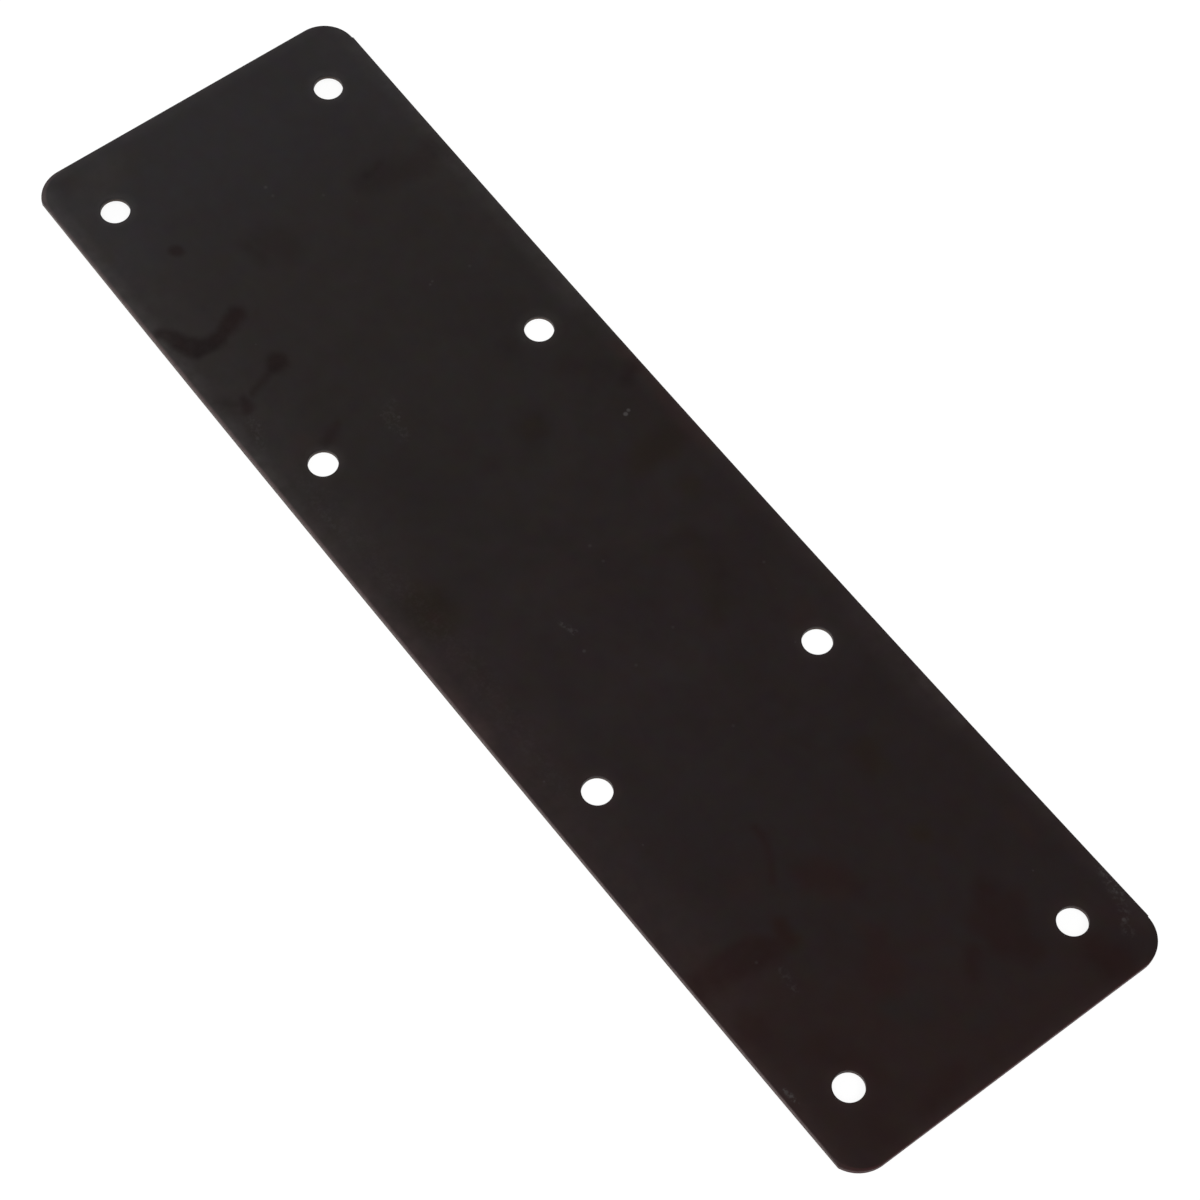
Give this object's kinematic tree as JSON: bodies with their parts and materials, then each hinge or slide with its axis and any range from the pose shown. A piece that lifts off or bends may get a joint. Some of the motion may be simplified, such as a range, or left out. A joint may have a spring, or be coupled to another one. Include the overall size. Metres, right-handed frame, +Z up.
{
  "type": "rectangular cover plate",
  "caption": "Long rectangular sheet-metal cover plate with rounded corners and rows of screw holes along both long edges, slightly bowed, coated dark brown-black.",
  "frame": {"origin": "where the plate's underside rests, under the middle of the plate", "axes": "+X along the plate, +Y across it, +Z up out of the punched face, which the bow makes slightly hollow"},
  "size_m": [0.35, 0.1, 0.0051],
  "materials": {
    "coated_steel": "satin"
  },
  "bodies": {
    "root": {"cover_plate": "coated_steel"}
  },
  "joints": []
}
